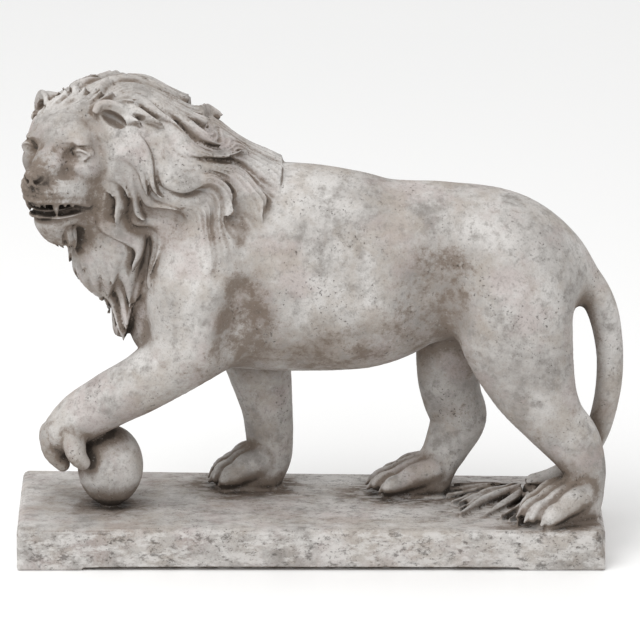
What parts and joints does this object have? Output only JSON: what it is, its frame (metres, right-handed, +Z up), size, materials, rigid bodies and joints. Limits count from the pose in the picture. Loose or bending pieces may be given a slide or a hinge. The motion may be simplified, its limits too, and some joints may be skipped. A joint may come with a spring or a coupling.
{
  "type": "stone lion statue",
  "caption": "Garden lion cast in stone with its plinth, striding with one forepaw on a ball and its maned head turned to the side.",
  "frame": {"origin": "middle of the plinth's underside, on the surface that it stands on", "axes": "+X along the plinth from the lion's head to its tail, +Y to the side that the face looks away from, +Z up"},
  "size_m": [0.9808, 0.3328, 0.7862],
  "materials": {
    "cast_stone": "weathered light grey cast stone, matt, with fine pits and brown dirt in the hollows"
  },
  "bodies": {
    "root": {"lion_statue": "cast_stone"}
  },
  "joints": []
}
